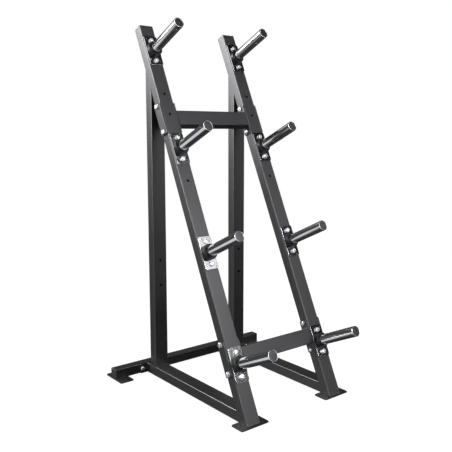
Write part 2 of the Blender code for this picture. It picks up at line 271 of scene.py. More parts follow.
# %% Chrome of the peg plates
rolled_look = Finish("rolled_chrome", Metallic=1.0)
wander = rolled_look.noise(55.0, 2.0)
pits = rolled_look.noise(330.0, 3.0)
rolled_face = rolled_look.rise(rolled_look.facing(OUTWARDS), 0.85, 0.12)
plate_chrome = rolled_look.finish(
    colour=rolled_look.blend(rolled_face * (0.85 + 0.15 * pits), (0.08, 0.08, 0.085),
                             (0.68, 0.69, 0.71)),
    roughness=0.36 + 0.09 * pits - 0.30 * rolled_face,
    height=rolled_face * (wander - 0.5) + 0.05 * pits, depth=0.0012, strength=0.35)

# %% [markdown]
# ### Zinc, rubber and plastic
# Bolts, nuts and washers are plated with bright zinc. It looks softer than chrome and a little
# cool, and is duller where a spanner has rubbed. The collars are moulded rubber with a dry
# bloom in their gloss. The caps are plastic with the fine texture of a spark-eroded mould.

# %% Zinc plate
zinc_look = Finish("bright_zinc", Metallic=1.0)
crystal = zinc_look.noise(850.0, 2.0)
rub = zinc_look.noise(120.0, 3.0)
zinc_plate = zinc_look.finish(
    colour=zinc_look.blend(rub, (0.66, 0.68, 0.70), (0.78, 0.79, 0.79)),
    roughness=0.20 + 0.10 * rub + 0.05 * crystal,
    height=crystal, depth=0.00005, strength=0.3)

# %% Rubber and plastic
rubber_look = Finish("moulded_rubber", Metallic=0.0, Specular_IOR_Level=0.32)
bloom = rubber_look.noise(60.0, 4.0)
skin = rubber_look.noise(1300.0, 2.0)
collar_rubber = rubber_look.finish(
    colour=rubber_look.blend(bloom, (0.005, 0.005, 0.005), (0.009, 0.009, 0.009)),
    roughness=0.27 + 0.14 * bloom,
    height=skin, depth=0.00008, strength=0.4)

plastic_look = Finish("spark_plastic", Metallic=0.0, Specular_IOR_Level=0.5)
cloud = plastic_look.noise(40.0, 3.0)
spark = plastic_look.noise(1500.0, 1.0)
cap_plastic = plastic_look.finish(
    colour=plastic_look.blend(cloud, (0.017, 0.017, 0.018), (0.023, 0.023, 0.024)),
    roughness=0.36 + 0.08 * cloud,
    height=spark, depth=0.0001, strength=0.4)

# %% [markdown]
# ## From a bmesh to a piece
# A shape is modelled once, round its own origin, as mesh data. Each piece is a copy moved to
# its place, so its object stays at the origin, which keeps the noise of its finish fixed to
# the room. Smooth shading with sharp edges and a Weighted Normal modifier keeps flat faces
# flat right up to their rounded corners.

# %% Mesh data and pieces
SHARP = math.radians(35.0)
made = []


def mesh_from(name, bm):
    """Mesh data from a bmesh: seams merged, faces outwards, sharp edges marked."""
    bmesh.ops.remove_doubles(bm, verts=bm.verts, dist=1e-6)
    bmesh.ops.recalc_face_normals(bm, faces=bm.faces)
    mesh = bpy.data.meshes.new(name)
    bm.to_mesh(mesh)
    bm.free()
    mesh.shade_smooth()
    mesh.set_sharp_from_angle(angle=SHARP)
    return mesh


def piece(name, shapes, finish, nodes=()):
    """One piece of the rack, from (mesh data, matrix) pairs. It stands for the named nodes."""
    bm = bmesh.new()
    for mesh, matrix in shapes:
        part = mesh.copy()
        part.transform(matrix)
        bm.from_mesh(part)
        bpy.data.meshes.remove(part)
    mesh = bpy.data.meshes.new(name)
    bm.to_mesh(mesh)
    bm.free()
    mesh.materials.append(finish)
    obj = bpy.data.objects.new(name, mesh)
    bpy.context.scene.collection.objects.link(obj)
    weighted = obj.modifiers.new("flat_faces", 'WEIGHTED_NORMAL')
    weighted.keep_sharp = True
    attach(obj, "root")
    if nodes:
        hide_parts(*nodes)
    made.append(obj)
    return obj


# %% [markdown]
# ## Rounded tube
# Cold-formed tube has a small soft corner, which catches the light as a thin pale line along
# each edge. A grid of one face is the cross section: bevelling its four points rounds the
# corners, an inset leaves the wall, and an extrusion pulls it out. The ends are then sheared
# to the angle of the saw cut, which is simpler and cleaner than cutting a finished tube.

# %% Rounded tube


def outline(width, depth, corner, segments=6):
    """A flat rounded rectangle round the origin, as the start of a bmesh."""
    bm = bmesh.new()
    bmesh.ops.create_grid(bm, x_segments=1, y_segments=1, size=0.5,
                          matrix=Matrix.Diagonal((width, depth, 1, 1)))
    bmesh.ops.bevel(bm, geom=bm.verts[:], offset=corner, segments=segments, profile=0.5,
                    affect='VERTICES', material=-1)
    return bm


def hollow(bm, wall):
    """Leave only a wall of a flat outline."""
    ring = set(bmesh.ops.inset_region(bm, faces=bm.faces[:], thickness=wall,
                                      use_even_offset=True, use_boundary=True)["faces"])
    bmesh.ops.delete(bm, geom=[face for face in bm.faces if face not in ring], context='FACES')


def pull(bm, height):
    """Extrude all faces along Z, and return the points of the far end."""
    grown = bmesh.ops.extrude_face_region(bm, geom=bm.faces[:])["geom"]
    far = [item for item in grown if isinstance(item, bmesh.types.BMVert)]
    bmesh.ops.translate(bm, verts=far, vec=(0, 0, height))
    return far


def tube(width, depth, start, end, start_slope=0.0, end_slope=0.0):
    """A hollow tube along Z. A slope says how fast an end's cut rises with Y."""
    bm = outline(width, depth, TUBE_CORNER)
    hollow(bm, TUBE_WALL)
    near = bm.verts[:]
    far = pull(bm, end - start)
    for points, slope in ((near, start_slope), (far, end_slope)):
        shear = Matrix(((1, 0, 0, 0), (0, 1, 0, 0), (0, slope, 1, 0), (0, 0, 0, 1)))
        bmesh.ops.transform(bm, matrix=shear, verts=points)
    bmesh.ops.translate(bm, verts=bm.verts, vec=(0, 0, start))
    return bm


def boolean(mesh, tool, operation):
    """Mesh data after a Boolean with another mesh."""
    pair = [bpy.data.objects.new("boolean", data) for data in (mesh, tool)]
    for obj in pair:
        bpy.context.scene.collection.objects.link(obj)
    step = pair[0].modifiers.new("boolean", 'BOOLEAN')
    step.operation, step.solver, step.object = operation, 'EXACT', pair[1]
    bpy.context.view_layer.update()
    result = bpy.data.meshes.new_from_object(
        pair[0].evaluated_get(bpy.context.evaluated_depsgraph_get()))
    for obj in pair:
        bpy.data.objects.remove(obj)
    result.shade_smooth()
    result.set_sharp_from_angle(angle=SHARP)
    return result


# %% [markdown]
# ## Posts and uprights
# Each post is drilled through for its peg bolts and its crossmember bolts, and has three
# spare holes, so that a peg can be bolted on lower down. The drills are one bmesh of
# cylinders, taken away in a single Boolean.

# %% Drilled posts
BOLT, BOLT_CLEARANCE = 0.012, 0.00075
HOLE = BOLT / 2 + BOLT_CLEARANCE


def drilled(mesh, holes):
    """Mesh data with round holes, each a middle, a turn and a depth."""
    bits = bmesh.new()
    for middle, turn, depth in holes:
        bmesh.ops.create_cone(bits, cap_ends=True, segments=32, radius1=HOLE, radius2=HOLE,
                              depth=depth, matrix=at(middle, turn))
    return boolean(mesh, mesh_from("bits", bits), 'DIFFERENCE')


FRONT_TO_BACK, SIDE_TO_SIDE = (math.pi / 2, 0, 0), (0, math.pi / 2, 0)
post_start = FLOOR_LIFT / cosine + TUBE_DEPTH / 2 * tangent
post = mesh_from("post", tube(TUBE_WIDTH, TUBE_DEPTH, post_start, POST_LENGTH, tangent))
peg_bolt_heights = [row + end * PEG_BOLTS / 2 for row in PEG_ROWS for end in (-1, 1)]
spare_heights = [SPARE_ROW - PEG_BOLTS / 2, SPARE_ROW + PEG_BOLTS / 2,
                 PEG_ROWS[2] - 1.5 * PEG_BOLTS]
frame_bolt_heights = [middle + end * FLANGE_BOLTS / 2
                      for middle in CROSSMEMBER_HEIGHTS.values() for end in (-1, 1)]
post = drilled(post, [((0, 0, height), FRONT_TO_BACK, 2 * TUBE_DEPTH)
                      for height in peg_bolt_heights + spare_heights]
               + [((0, 0, height), SIDE_TO_SIDE, 2 * TUBE_WIDTH)
                  for height in frame_bolt_heights])
for side, sign in SIDES.items():
    place = at((sign * HALF_SPACING, TUBE_DEPTH / 2, 0), frame_matrix=LEANING)
    piece(f"post_{side}", [(post, place)], powder_coat, [f"slanted_post_{side}"])
print("posts:", len(post.polygons), "faces each")

# %% [markdown]
# The uprights stand on the floor beams and carry the posts. Their tops are sawn to the posts'
# slope. Two holes are drilled in the front wall only, so the drill stops inside the tube.

# %% Uprights
upright_start = BEAM_TOP + GAP
upright_end = (UPRIGHT_FRONT + TUBE_DEPTH / 2 - BACK_FOOT - GAP / cosine) / tangent
upright = tube(TUBE_WIDTH, TUBE_DEPTH, upright_start, upright_end, 0.0, 1 / tangent)
upright = drilled(mesh_from("upright", upright),
                  [((0, -TUBE_DEPTH / 2, height), FRONT_TO_BACK, TUBE_DEPTH / 2)
                   for height in UPRIGHT_HOLES])
for side, sign in SIDES.items():
    place = at((sign * HALF_SPACING, UPRIGHT_FRONT + TUBE_DEPTH / 2, 0))
    piece(f"upright_{side}", [(upright, place)], powder_coat,
          [f"rear_upright_{side}"])
print("uprights:", round(upright_end - upright_start, 3), "m long in the middle")

# %% [markdown]
# ## Floor beams, crossbar and crossmembers
# The floor beams run level, a foot plate's thickness above the floor, from the backs of the
# posts to the rear crossbar. The crossbar is square tube, and the crossmembers are the same
# tube as the posts, on edge.

# %% Beams and bars
TO_REAR = (-math.pi / 2, 0, 0)
beam_start = BACK_FOOT + BEAM_MIDDLE * tangent + GAP / cosine
beam = mesh_from("beam", tube(TUBE_WIDTH, TUBE_DEPTH, beam_start, BEAM_END, -tangent))
for side, sign in SIDES.items():
    piece(f"beam_{side}", [(beam, at((sign * HALF_SPACING, 0, BEAM_MIDDLE), TO_REAR))],
          powder_coat, [f"floor_beam_{side}"])

crossbar = mesh_from("crossbar", tube(TUBE_DEPTH, TUBE_DEPTH, -CROSSBAR_END, CROSSBAR_END))
piece("crossbar", [(crossbar, at((0, CROSSBAR_CENTRE, BEAM_MIDDLE), SIDE_TO_SIDE))],
      powder_coat, ["rear_crossbar"])

member_end = HALF_SPACING - TUBE_WIDTH / 2 - PLATE - 2 * GAP
member = mesh_from("member", tube(TUBE_WIDTH, TUBE_DEPTH, -member_end, member_end))
for level, height in CROSSMEMBER_HEIGHTS.items():
    place = at((0, TUBE_DEPTH / 2, height), SIDE_TO_SIDE, LEANING)
    piece(f"member_{level}", [(member, place)], powder_coat,
          [f"crossmember_{level}"])
print("crossmembers:", round(2 * member_end, 4), "m")

# %% [markdown]
# ## Plates
# All the plates are cut from flat steel 6 mm thick. A sharp edge catches no light, and a real
# one is never sharp: after the extrusion every edge is broken by a bevel under a millimetre,
# which draws the thin pale line round each plate.

# %% Feet, flanges and backing plates
EDGE_BREAK = 0.0008
WIDE_CORNER, NARROW_CORNER = 0.009, 0.004


def plate(width, length, corner, thickness=PLATE):
    """A flat plate on Z = 0 with rounded corners and broken edges."""
    bm = outline(width, length, corner)
    pull(bm, thickness)
    bmesh.ops.recalc_face_normals(bm, faces=bm.faces)
    rims = [edge for edge in bm.edges if edge.calc_face_angle(0) > math.radians(60)]
    bmesh.ops.bevel(bm, geom=rims, offset=EDGE_BREAK, segments=2, profile=0.5,
                    affect='EDGES', material=-1)
    return bm


foot = mesh_from("foot", plate(TUBE_WIDTH, PLATE_LENGTH, WIDE_CORNER))
foot_y = (POST_FOOT + BACK_FOOT) / 2
foot_x = CROSSBAR_END + GAP + CAP - TUBE_WIDTH / 2
rear_flange = mesh_from("rear_flange", plate(TUBE_DEPTH, PLATE_LENGTH, NARROW_CORNER))
flange = mesh_from("flange", plate(TUBE_DEPTH - 2 * PLATE_INSET, PLATE_LENGTH, NARROW_CORNER))
FLANGE_TURN = (math.pi / 2, math.pi / 2, 0)
for side, sign in SIDES.items():
    x = sign * HALF_SPACING
    piece(f"foot_front_{side}", [(foot, at((x, foot_y, 0), (0, 0, math.pi / 2)))],
          foot_coat, [f"front_foot_{side}"])
    piece(f"foot_rear_{side}", [(foot, at((sign * foot_x, CROSSBAR_CENTRE, 0)))],
          foot_coat, [f"rear_foot_{side}"])
    place = at((x, BEAM_END + GAP + PLATE, BEAM_MIDDLE), FLANGE_TURN)
    piece(f"flange_rear_{side}", [(rear_flange, place)], powder_coat,
          [f"rear_flange_{side}"])
    for level, height in CROSSMEMBER_HEIGHTS.items():
        for name, node, face in (("flange", "end_flange", -sign),
                                 ("backing", "backing_plate", sign)):
            place = at((x + face * (TUBE_WIDTH / 2 + GAP), TUBE_DEPTH / 2, height),
                       (math.pi / 2, 0, face * math.pi / 2), LEANING)
            piece(f"{name}_{level}_{side}", [(flange, place)], powder_coat,
                  [f"{node}_{level}_{side}"])
print("plates:", sum(obj.name.startswith(("foot", "flange", "backing")) for obj in made))

# %% [markdown]
# ## End caps
# Moulded plugs close the tops of the posts and the ends of the crossbar. Their rim is rounded
# over almost its whole thickness, and a hollow skirt grips the inside of the tube.

# %% End caps
CAP_ROUND = 0.0036
SKIRT_LENGTH, SKIRT_WALL, SKIRT_CORNER, SKIRT_GAP = 0.020, 0.0022, 0.0026, 0.0004


def cap(width, depth):
    """A plug along Z: a rounded flange on Z = 0 with a hollow skirt below it."""
    bm = outline(width, depth, TUBE_CORNER)
    top = pull(bm, CAP)
    rim = [edge for edge in bm.edges if all(point in top for point in edge.verts)]
    bmesh.ops.bevel(bm, geom=rim, offset=CAP_ROUND, segments=5, profile=0.5, affect='EDGES',
                    clamp_overlap=True, material=-1)
    room = 2 * (TUBE_WALL + SKIRT_GAP)
    skirt = outline(width - room, depth - room, SKIRT_CORNER, 3)
    hollow(skirt, SKIRT_WALL)
    pull(skirt, -SKIRT_LENGTH)
    return mesh_from("cap", bm), mesh_from("skirt", skirt)


for side, sign in SIDES.items():
    place = at((sign * HALF_SPACING, TUBE_DEPTH / 2, POST_LENGTH + GAP), frame_matrix=LEANING)
    shapes = cap(TUBE_WIDTH, TUBE_DEPTH)
    piece(f"cap_post_{side}", [(shape, place) for shape in shapes], cap_plastic,
          [f"post_cap_{side}"])
    place = at((sign * (CROSSBAR_END + GAP), CROSSBAR_CENTRE, BEAM_MIDDLE),
               (0, sign * math.pi / 2, 0))
    shapes = cap(TUBE_DEPTH, TUBE_DEPTH)
    piece(f"cap_crossbar_{side}", [(shape, place) for shape in shapes], cap_plastic,
          [f"crossbar_cap_{side}"])
print("caps:", sum(obj.name.startswith("cap") for obj in made))

# %% [markdown]
# ## Turned pieces
# Pegs, collars, washers and bolt heads are all round, so one helper spins a profile, given as
# radius and height, once round the Z axis. Rounded edges come from a second helper that
# returns the points of an arc.

# %% Spinning a profile


def arc(radius, height, size, first, last, steps=5):
    """Points of an arc of a profile, round (radius, height), between two angles in degrees."""
    angles = [math.radians(first + (last - first) * step / steps) for step in range(steps + 1)]
    return [(radius + size * math.cos(a), height + size * math.sin(a)) for a in angles]


def turned(name, profile, steps=72):
    """Mesh data of a profile spun once round Z."""
    bm = bmesh.new()
    points = [bm.verts.new((radius, 0, height)) for radius, height in profile]
    lines = [bm.edges.new(pair) for pair in zip(points, points[1:])]
    bmesh.ops.spin(bm, geom=points + lines, cent=(0, 0, 0), axis=(0, 0, 1), dvec=(0, 0, 0),
                   angle=2 * math.pi, steps=steps, use_merge=True)
    return mesh_from(name, bm)


# %% [markdown]
# ## Weight pegs
# A peg is a 50 mm tube welded to its plate. Its far end is closed by a disc set just inside
# the rim, and the rim is rolled over so that plates slide on without catching. That rim is the
# thin bright ring in the photograph.

# %% Peg and its plate
PEG_REACH, PEG_RADIUS, ROLL = 0.250, 0.025, 0.0016
DISC_SINK, DISC_RADIUS, DISC_WELD, WELD_SINK = 0.0012, 0.0214, 0.0008, 0.0002
tip = PEG_REACH - PLATE - 3 * GAP
disc = tip - DISC_SINK
peg = turned("peg", [(0.0, 0.0), (PEG_RADIUS, 0.0)]
             + arc(PEG_RADIUS - ROLL, tip - ROLL, ROLL, 0, 150)
             + [(DISC_RADIUS + DISC_WELD, disc - WELD_SINK), (DISC_RADIUS, disc), (0.0, disc)],
             steps=96)
peg_plate = mesh_from("peg_plate",
                      plate(TUBE_WIDTH - 2 * PLATE_INSET, PLATE_LENGTH, WIDE_CORNER))
print("peg:", len(peg.polygons), "faces, standing", PEG_REACH, "m out")

# %% [markdown]
# The collar round the foot of the peg is a thick rubber washer that keeps a stored plate off
# the bolts. It has rounded shoulders, a shallow groove in its face and a lip round the bore.

# %% Collar
COLLAR, COLLAR_RADIUS, BORE = 0.022, 0.0365, PEG_RADIUS + GAP
SHOULDER, LIP = 0.003, 0.001
GROOVE_INNER, GROOVE_OUTER, GROOVE_SLOPE, GROOVE_DEPTH = 0.0296, 0.0322, 0.0006, 0.0009
groove = [(GROOVE_OUTER, COLLAR), (GROOVE_OUTER - GROOVE_SLOPE, COLLAR - GROOVE_DEPTH),
          (GROOVE_INNER + GROOVE_SLOPE, COLLAR - GROOVE_DEPTH), (GROOVE_INNER, COLLAR)]
collar = turned("collar", [(BORE, 0.0), (COLLAR_RADIUS - LIP, 0.0), (COLLAR_RADIUS, LIP)]
                + arc(COLLAR_RADIUS - SHOULDER, COLLAR - SHOULDER, SHOULDER, 0, 90)
                + groove + arc(BORE + LIP, COLLAR - LIP, LIP, 90, 180) + [(BORE, 0.0)],
                steps=96)
print("collar:", len(collar.polygons), "faces")

# %% [markdown]
# ## Bolts
# A bolt head is a hexagon whose corners are turned away on a lathe. Modelling it the same way
# gives the right curved scallops: a hexagonal bar is intersected with a turned blank. The nut
# is turned on both ends, and the end of the thread shows past it.

# %% Head and nut
FLATS, HEAD, WASHER, WASHER_RADIUS, TAIL = 0.0186, 0.0078, 0.0025, 0.012, 0.004
CORNER = FLATS / math.cos(math.pi / 6) / 2


def hexagon(name, height, both_ends):
    """A bolt head or nut standing on Z = 0, with its corners turned away.

    The turned blank is given in shares of the hexagon's corner radius.
    """
    bar = bmesh.new()
    bmesh.ops.create_cone(bar, cap_ends=True, segments=6, radius1=CORNER, radius2=CORNER,
                          depth=height, matrix=Matrix.Translation((0, 0, height / 2)))
    drop, past = 0.16 * CORNER, 1.01 * CORNER
    below = [(0.0, -drop), (past, -drop)]
    bearing = [(0.0, 0.0), (0.88 * CORNER, 0.0), (past, 0.5 * drop)]
    top = [(past, height - drop), (0.86 * CORNER, height - 0.2 * drop),
           (0.74 * CORNER, height), (0.0, height)]
    blank = turned("blank", (bearing if both_ends else below) + top)
    return boolean(mesh_from(name, bar), blank, 'INTERSECT')


head = hexagon("head", HEAD, False)
nut = hexagon("nut", HEAD, True)

# %% [markdown]
# The washer has one rounded edge, as stamping leaves it. The thread is turned as rings, not as
# a helix: so few turns show past the nut that nobody can tell.

# %% Washer and thread
EDGE, ROUND = 0.0004, 0.0006
washer = turned("washer", [(BOLT / 2, 0.0), (WASHER_RADIUS - EDGE, 0.0), (WASHER_RADIUS, EDGE)]
                + arc(WASHER_RADIUS - ROUND, WASHER - ROUND, ROUND, 0, 90, 3)
                + [(BOLT / 2, WASHER), (BOLT / 2, 0.0)], steps=48)
PITCH, THREAD_DEPTH, POINT = 0.00175, 0.0009, 0.001
ROOT = BOLT / 2 - THREAD_DEPTH
thread_length = HEAD + TAIL
turns = int((thread_length - POINT) / PITCH)
thread = [(0.0, 0.0)]
for turn in range(turns):
    thread += [(BOLT / 2, turn * PITCH), (ROOT, (turn + 0.5) * PITCH)]
thread += [(BOLT / 2, turns * PITCH), (ROOT, thread_length), (0.0, thread_length)]
tail = turned("tail", thread, steps=48)


def bolt(grip, matrix, spin):
    """The shapes of one bolt: its washer bears on Z = 0 and its nut on Z = -grip."""
    turn = Matrix.Rotation(spin, 4, 'Z')
    under = Matrix.Translation((0, 0, -grip)) @ Matrix.Rotation(math.pi, 4, 'X')
    return [(washer, matrix), (head, matrix @ Matrix.Translation((0, 0, WASHER)) @ turn),
            (nut, matrix @ under @ turn), (tail, matrix @ under)]


print("bolt:", sum(len(shape.polygons) for shape in (washer, head, nut, tail)), "faces")

# %% [markdown]
# ## Peg stations
# One station is a plate, a peg, a collar and two bolts. The CAD node of the plate holds its
# two bolts as well, so the plate and the bolts stand for it together, each in its own finish.
# A fitter leaves every bolt turned a little differently, and so does the spin below.

# %% Bolt the pegs to the posts
OUT_OF_POST = (math.pi / 2, 0, 0)
face = -PLATE - 2 * GAP
short_grip = PLATE + TUBE_DEPTH + 2 * GAP
for side, sign in SIDES.items():
    for row, height in enumerate(PEG_ROWS, start=1):
        label = f"{side}_{row}"
        x = sign * HALF_SPACING
        seat = at((x, -GAP, height), OUT_OF_POST, LEANING)
        front = at((x, face, height), OUT_OF_POST, LEANING)
        node = f"peg_plate_{label}"
        piece(f"station_plate_{label}", [(peg_plate, seat)], plate_chrome, [node])
        shapes = []
        for end in (-1, 1):
            place = seat @ Matrix.Translation((0, end * PEG_BOLTS / 2, PLATE))
            shapes += bolt(short_grip, place, row * 0.7 + end * 0.9 + sign)
        piece(f"station_bolts_{label}", shapes, zinc_plate, [node])
        piece(f"peg_{label}", [(peg, front)], peg_chrome, [f"peg_tube_{label}"])
        piece(f"collar_{label}", [(collar, front)], collar_rubber,
              [f"peg_collar_{label}"])
print("stations:", len(PEG_ROWS) * len(SIDES))

# %% [markdown]
# ## Frame bolts
# Long bolts clamp each crossmember through the post, between its end flange and the backing
# plate on the outside. Short ones hold the floor beams' rear flanges to the crossbar.

# %% Bolt the frame together
long_grip = TUBE_WIDTH + 2 * PLATE + 4 * GAP
for side, sign in SIDES.items():
    x = sign * HALF_SPACING
    for level, height in CROSSMEMBER_HEIGHTS.items():
        for name, end in (("low", -1), ("high", 1)):
            place = at((x + sign * (TUBE_WIDTH / 2 + GAP + PLATE), TUBE_DEPTH / 2,
                        height + end * FLANGE_BOLTS / 2), (math.pi / 2, 0, sign * math.pi / 2),
                       LEANING)
            label = f"{level}_{side}_{name}"
            piece(f"through_bolt_{label}", bolt(long_grip, place, end + 0.4 * sign), zinc_plate,
                  [f"frame_bolt_{label}"])
    seat = at((x, BEAM_END + GAP + PLATE, BEAM_MIDDLE), FLANGE_TURN)
    shapes = []
    for end in (-1, 1):
        place = seat @ Matrix.Translation((0, end * FLANGE_BOLTS / 2, PLATE))
        shapes += bolt(short_grip, place, end + 0.3 * sign)
    piece(f"flange_bolts_{side}", shapes, zinc_plate, [f"rear_flange_{side}"])
print("long bolts:", sum(obj.name.startswith("through_bolt") for obj in made))

# %% [markdown]
# ## Weld beads
# Where tubes meet they are welded, then painted over. A bead is a row of overlapping ripples,
# each laid as the torch moves on. It is swept from a small circle: the ring is extruded in
# short steps, and its size swells and shrinks once for every ripple.

# %% Weld beads
BEAD, RIPPLE = 0.0026, 0.0026
TAPER = 0.55
SWELL = (0.86, 1.0, 1.08)


def bead(start, end):
    """Mesh data of one straight bead between two points of the room."""
    start, end = Vector(start), Vector(end)
    steps = 3 * max(3, round((end - start).length / RIPPLE))
    step = (end - start) / steps
    turn = step.to_track_quat('Z', 'Y').to_matrix().to_4x4()
    bm = bmesh.new()
    ring = bmesh.ops.create_circle(bm, cap_ends=True, segments=10, radius=TAPER * BEAD,
                                   matrix=Matrix.Translation(start) @ turn)["verts"]
    edges = [edge for edge in bm.edges if all(point in ring for point in edge.verts)]
    size = TAPER
    for count in range(1, steps + 1):
        grown = bmesh.ops.extrude_edge_only(bm, edges=edges)["geom"]
        points = [item for item in grown if isinstance(item, bmesh.types.BMVert)]
        edges = [item for item in grown if isinstance(item, bmesh.types.BMEdge)
                 and all(point in points for point in item.verts)]
        bmesh.ops.translate(bm, verts=points, vec=step)
        target = SWELL[count % 3] if count < steps else TAPER
        centre = Matrix.Translation(-(start + count * step))
        bmesh.ops.scale(bm, verts=points, vec=(target / size,) * 3, space=centre)
        size = target
    bmesh.ops.contextual_create(bm, geom=edges)
    return mesh_from("bead", bm)


def beads(name, lines):
    """One piece from several beads."""
    shapes = [(bead(start, end), Matrix.Identity(4)) for start, end in lines]
    return piece(name, shapes, powder_coat)


# %% [markdown]
# Beads run across the side frames where two tubes meet or a tube meets a plate, along both
# sides of the posts' feet, on the rear feet and up the ends of the crossmembers. They keep to
# the flat part of each tube. Two helpers say where the posts' sloping back faces are, because
# the uprights and the beams end there.

# %% Weld the tubes
FOOT_WELD = 0.066
half_width = TUBE_WIDTH / 2
flat = half_width - TUBE_CORNER
upright_back = UPRIGHT_FRONT + TUBE_DEPTH


def back_at_height(z):
    """The Y and Z of the posts' back faces at a height."""
    return BACK_FOOT + z * tangent, z


def back_at_depth(y):
    """The Y and Z of the posts' back faces at a depth."""
    return y, (y - BACK_FOOT) / tangent


post_front = POST_FOOT + FLOOR_LIFT * tangent
across_frame = [(post_front, FLOOR_LIFT), back_at_height(BEAM_TOP), (UPRIGHT_FRONT, BEAM_TOP),
                (upright_back, BEAM_TOP), back_at_depth(UPRIGHT_FRONT),
                back_at_depth(upright_back), (BEAM_END, BEAM_TOP)]
for side, sign in SIDES.items():
    x = sign * HALF_SPACING
    lines = [((x - flat, *corner), (x + flat, *corner)) for corner in across_frame]
    for edge in (-1, 1):
        face_x = x + edge * half_width
        lines += [((face_x, post_front + TUBE_CORNER, FLOOR_LIFT),
                   (face_x, *back_at_height(FLOOR_LIFT))),
                  ((face_x, BEAM_END, FLOOR_LIFT + TUBE_CORNER),
                   (face_x, BEAM_END, BEAM_TOP - TUBE_CORNER))]
    beads(f"weld_frame_{side}", lines)
    foot_lines = []
    for edge in (-1, 1):
        y = CROSSBAR_CENTRE + edge * TUBE_DEPTH / 2
        ends = [sign * foot_x + half * FOOT_WELD / 2 for half in (-1, 1)]
        foot_lines.append(((ends[0], y, FLOOR_LIFT), (ends[1], y, FLOOR_LIFT)))
    beads(f"weld_foot_{side}", foot_lines)
    for level, height in CROSSMEMBER_HEIGHTS.items():
        end_lines = []
        for edge in (-1, 1):
            ends = [LEANING @ Vector((sign * member_end, depth, height + edge * half_width))
                    for depth in (TUBE_CORNER, TUBE_DEPTH - TUBE_CORNER)]
            end_lines.append(ends)
        beads(f"weld_member_{level}_{side}", end_lines)
print("beads on each side frame:", len(lines))

# %% [markdown]
# Where a tube ends on another and their side faces lie in one plane, the welder fills the
# groove along the rounded corner and grinds it flush, so that no seam shows under the paint.
# The filling is a wedge with one side in that plane.

# %% Ground welds


def wedge(start, end, away, inwards):
    """A ground weld from start to end. It fills the corner of the tube that lies away."""
    bm = bmesh.new()
    edge = Vector(start) - GAP * away
    corners = [edge, edge + (TUBE_CORNER + GAP) * away, edge + TUBE_CORNER * inwards]
    bm.faces.new([bm.verts.new(corner) for corner in corners])
    grown = bmesh.ops.extrude_face_region(bm, geom=bm.faces[:])["geom"]
    far = [item for item in grown if isinstance(item, bmesh.types.BMVert)]
    bmesh.ops.translate(bm, verts=far, vec=Vector(end) - Vector(start))
    return mesh_from("wedge", bm)


near, far = UPRIGHT_FRONT + TUBE_CORNER, upright_back - TUBE_CORNER
seams = [
    (back_at_depth(near), back_at_depth(far), Vector(OUTWARDS)),
    (back_at_height(FLOOR_LIFT + TUBE_CORNER), back_at_height(BEAM_TOP - TUBE_CORNER),
     Vector(OUTWARDS)),
    ((near, BEAM_TOP), (far, BEAM_TOP), Vector((0, 0, -1))),
]
for side, sign in SIDES.items():
    shapes = []
    for edge in (-1, 1):
        face_x = sign * HALF_SPACING + edge * half_width
        shapes += [(wedge((face_x, *start), (face_x, *end), away, Vector((-edge, 0, 0))),
                    Matrix.Identity(4)) for start, end, away in seams]
    piece(f"weld_ground_{side}", shapes, powder_coat)
print("pieces:", len(made))

# %% [markdown]
# ## The studio
# The photograph is a cut-out on white, but the metal still shows the room it was taken in:
# a large softbox high at the front right, a smaller light close by at the back left, a weak
# glow off the floor, and darkness between them. Satin black paint and chrome have almost no
# colour of their own, so they look right only if what they mirror is right. The studio is
# therefore built in three layers. The camera sees a white floor and a white world. Matt
# surfaces are lit evenly by that world and by two soft lamps, at about the level at which a
# colour renders as it is written. Mirrors see a tent far round the set, and two ovals of
# light nearer by.

# %% World


def stage_material(name):
    """An empty material for the studio, as (material, nodes, output node)."""
    material = bpy.data.materials.new(name)
    material.use_nodes = True
    material.node_tree.nodes.clear()
    nodes = Nodes(material.node_tree)
    return material, nodes, material.node_tree.nodes.new("ShaderNodeOutputMaterial")


world = bpy.data.worlds.new("white_room")
bpy.context.scene.world = world
world.use_nodes = True
world.node_tree.nodes.clear()
room = Nodes(world.node_tree)
LEVEL = 0.40
seen = sum(room.add("LightPath", output=f"Is {name} Ray")
           for name in ("Camera", "Glossy", "Transmission"))
background = room.add("Background", Color=(1.0, 1.0, 1.0, 1.0),
                      Strength=LEVEL + (1.0 - LEVEL) * seen)
world_output = world.node_tree.nodes.new("ShaderNodeOutputWorld")
world.node_tree.links.new(background.socket, world_output.inputs["Surface"])

# %% [markdown]
# A direction is two angles, like a place on a globe: how far round from the back or from the
# front, and how high. A smoothstep rises over one edge of a patch of light, and four of them
# multiplied make a soft rectangle. A softbox that ends in a soft oval is one smoothstep of
# the distance from its middle. Painting light on a tent this way costs no lamps, and each
# patch can be put exactly where a face of the rack mirrors it. The sides that the photograph
# doesn't show get patches too, so that the rack can be walked round.

# %% Tent of softboxes
TENT = 60.0
COOL = (1.0, 0.993, 1.02)
cloth, nodes, output = stage_material("tent_cloth")
across = {axis: nodes.add("SeparateXYZ", output=axis,
                          Vector=nodes.add("TexCoord", output="Object")) for axis in "XYZ"}


def angle(operation, first, second=0.0):
    """An angle in degrees, from an inverse trigonometric function."""
    return first.join(operation, first, second) * math.degrees(1.0)


elevation = angle('ARCSINE', across["Z"] * (1 / TENT))
from_back = angle('ARCTAN2', across["X"], across["Y"])
from_front = angle('ARCTAN2', across["X"], -1.0 * across["Y"])


def window(azimuth, left, right, low, high, soft):
    """A rectangle of directions with edges that fade over twice the soft angle."""
    sides = nodes.rise(azimuth, left, soft) * (1.0 - nodes.rise(azimuth, right, soft))
    return sides * nodes.rise(elevation, low, soft) * (1.0 - nodes.rise(elevation, high, soft))


def ellipse(azimuth, middle, width, level, tall):
    """The squared distance from the middle of an ellipse of directions: 1 is its rim."""
    x, y = (azimuth - middle) * (1 / width), (elevation - level) * (1 / tall)
    return x * x + y * y


